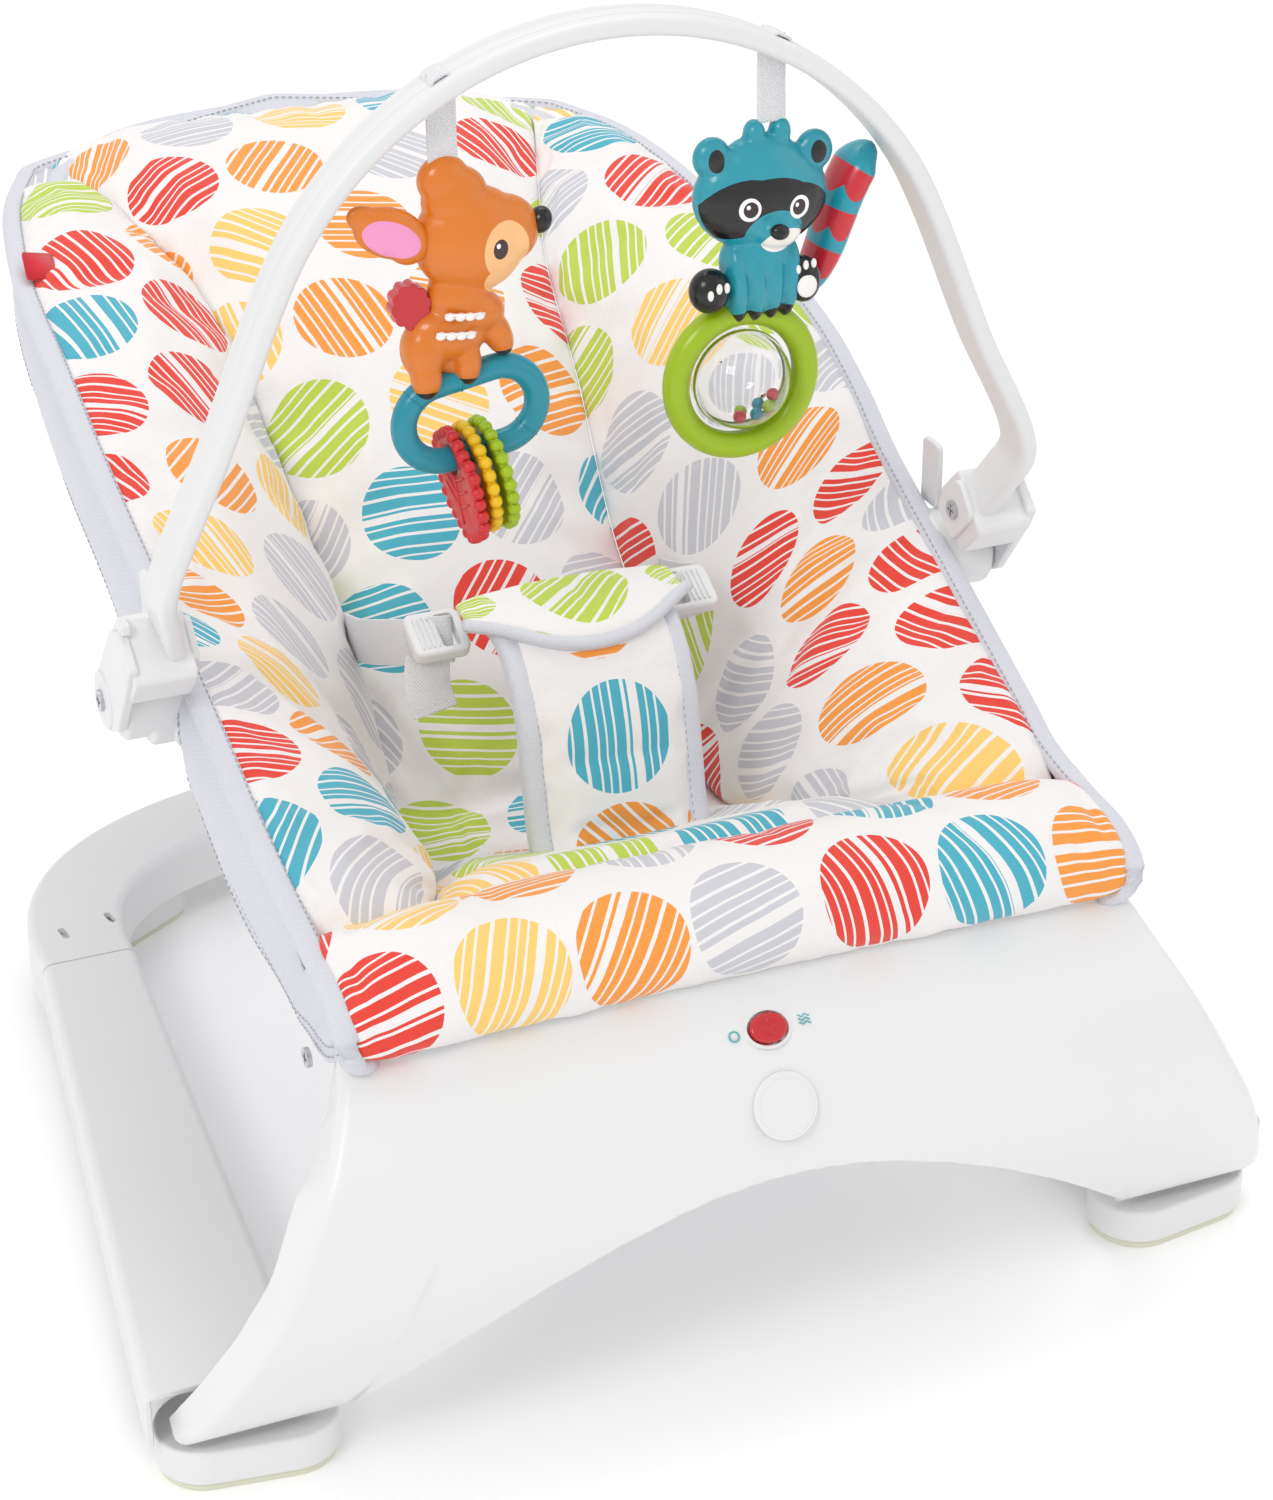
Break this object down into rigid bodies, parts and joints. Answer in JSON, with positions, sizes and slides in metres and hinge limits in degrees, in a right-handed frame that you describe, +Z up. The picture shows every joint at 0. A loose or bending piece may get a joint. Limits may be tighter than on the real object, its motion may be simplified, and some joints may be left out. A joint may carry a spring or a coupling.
{
  "type": "baby bouncer seat",
  "caption": "Infant bouncer seat: plastic base, padded sling seat on a bent tube, waist and crotch restraint, overhead bar with hanging toys, vibration unit.",
  "frame": {"origin": "on the floor, in the middle of the object's outer box", "axes": "+X to the right for someone facing the front panel, +Y from the front panel to the head end, +Z up"},
  "size_m": [0.502, 0.6332, 0.525],
  "materials": {
    "white_plastic": "satin gloss, moulded",
    "foot_rubber": "matte, slightly clear",
    "battery_jacket": "satin",
    "steel": "brushed",
    "brass": "turned",
    "black_plastic": "matte",
    "red_plastic": "gloss",
    "print_fabric": "woven, printed with striped discs",
    "grey_fabric": "woven, plain",
    "webbing": "woven tape",
    "orange_plastic": "gloss",
    "teal_plastic": "gloss",
    "yellow_plastic": "gloss",
    "green_plastic": "gloss",
    "clear_plastic": "clear, gloss"
  },
  "bodies": {
    "base": {"front_base_shell": "white_plastic", "right_side_rail": "white_plastic", "left_side_rail": "white_plastic", "rear_base_bar": "white_plastic", "right_front_foot": "white_plastic", "left_front_foot": "white_plastic", "right_rear_foot": "white_plastic", "left_rear_foot": "white_plastic", "right_front_foot_sole": "foot_rubber", "left_front_foot_sole": "foot_rubber", "right_rear_foot_sole": "foot_rubber", "left_rear_foot_sole": "foot_rubber", "vibration_housing": "white_plastic", "battery_cell": "battery_jacket", "vibration_motor": "steel", "power_switch": "black_plastic", "emblem_disc": "white_plastic", "right_frame_screw": "steel", "left_frame_screw": "steel"},
    "battery_door": {"battery_door": "white_plastic"},
    "motor_weight": {"motor_shaft": "steel", "eccentric_weight": "brass"},
    "power_button": {"power_button": "red_plastic"},
    "seat": {"seat_frame_tube": "steel", "right_hinge_housing": "white_plastic", "left_hinge_housing": "white_plastic", "back_pad": "print_fabric", "seat_pad": "print_fabric", "front_roll": "print_fabric", "right_side_wing": "print_fabric", "left_side_wing": "print_fabric", "right_side_sleeve": "grey_fabric", "left_side_sleeve": "grey_fabric"},
    "crotch_restraint": {"crotch_pad": "print_fabric", "crotch_flap": "print_fabric"},
    "right_buckle": {"right_buckle": "white_plastic", "right_waist_belt": "webbing"},
    "left_buckle": {"left_buckle": "white_plastic", "left_waist_belt": "webbing"},
    "toy_bar": {"toy_bar": "white_plastic", "right_toy_bar_bracket": "white_plastic", "left_toy_bar_bracket": "white_plastic", "right_bracket_screw": "steel", "left_bracket_screw": "steel"},
    "fawn_toy": {"fawn_strap": "webbing", "fawn_body": "orange_plastic", "fawn_ear": "orange_plastic", "fawn_tail_tag": "red_plastic", "fawn_loop": "teal_plastic"},
    "leaf_teether": {"leaf_teether": "red_plastic"},
    "yellow_teether": {"yellow_teether": "yellow_plastic"},
    "green_teether": {"green_teether": "green_plastic"},
    "raccoon_toy": {"raccoon_strap": "webbing", "raccoon_body": "teal_plastic", "raccoon_tail": "teal_plastic", "rattle_ring": "green_plastic"},
    "rattle_ball": {"rattle_ball_front": "clear_plastic", "rattle_ball_back": "clear_plastic", "rattle_bead_red": "red_plastic", "rattle_bead_teal": "teal_plastic"}
  },
  "joints": [
    {"name": "seat_bounce", "type": "hinge", "parent": "base", "child": "seat", "pos_m": [0, -0.26139, 0.17], "axis": [1, 0, 0], "range_deg": [-2.5, 2], "stiffness_Nm_per_rad": 420},
    {"name": "crotch_pad_fold", "type": "hinge", "parent": "seat", "child": "crotch_restraint", "pos_m": [0, -0.14039, 0.172], "axis": [1, 0, 0], "range_deg": [0, 50]},
    {"name": "right_buckle_release", "type": "slide", "parent": "seat", "child": "right_buckle", "axis": [1, 0, 0], "range_m": [0, 0.014]},
    {"name": "left_buckle_release", "type": "slide", "parent": "seat", "child": "left_buckle", "axis": [-1, 0, 0], "range_m": [0, 0.014]},
    {"name": "toy_bar_swing", "type": "hinge", "parent": "seat", "child": "toy_bar", "pos_m": [0, -0.08439, 0.251], "axis": [1, 0, 0], "range_deg": [-45, 45]},
    {"name": "fawn_swing", "type": "hinge", "parent": "toy_bar", "child": "fawn_toy", "pos_m": [-0.068, -0.13439, 0.4972], "axis": [1, 0, 0], "range_deg": [-30, 30]},
    {"name": "leaf_teether_swing", "type": "hinge", "parent": "fawn_toy", "child": "leaf_teether", "pos_m": [-0.06607, -0.13439, 0.35451], "axis": [0.9848, 0, 0.1736], "range_deg": [-35, 35]},
    {"name": "yellow_teether_swing", "type": "hinge", "parent": "fawn_toy", "child": "yellow_teether", "pos_m": [-0.05918, -0.13439, 0.35572], "axis": [0.9848, 0, 0.1736], "range_deg": [-35, 35]},
    {"name": "green_teether_swing", "type": "hinge", "parent": "fawn_toy", "child": "green_teether", "pos_m": [-0.05228, -0.13439, 0.35694], "axis": [0.9848, 0, 0.1736], "range_deg": [-35, 35]},
    {"name": "raccoon_swing", "type": "hinge", "parent": "toy_bar", "child": "raccoon_toy", "pos_m": [0.068, -0.13439, 0.4972], "axis": [1, 0, 0], "range_deg": [-30, 30]},
    {"name": "rattle_ball_spin", "type": "hinge", "parent": "raccoon_toy", "child": "rattle_ball", "pos_m": [0.057, -0.13439, 0.3687], "axis": [1, 0, 0], "continuous": true},
    {"name": "power_button_press", "type": "slide", "parent": "base", "child": "power_button", "axis": [0, 0.6606, -0.7507], "range_m": [0, 0.0018], "stiffness_N_per_m": 900},
    {"name": "battery_door_slide", "type": "slide", "parent": "base", "child": "battery_door", "axis": [0, 1, 0], "range_m": [0, 0.03]},
    {"name": "motor_spin", "type": "hinge", "parent": "base", "child": "motor_weight", "pos_m": [0, -0.25239, 0.15], "axis": [1, 0, 0], "continuous": true}
  ]
}
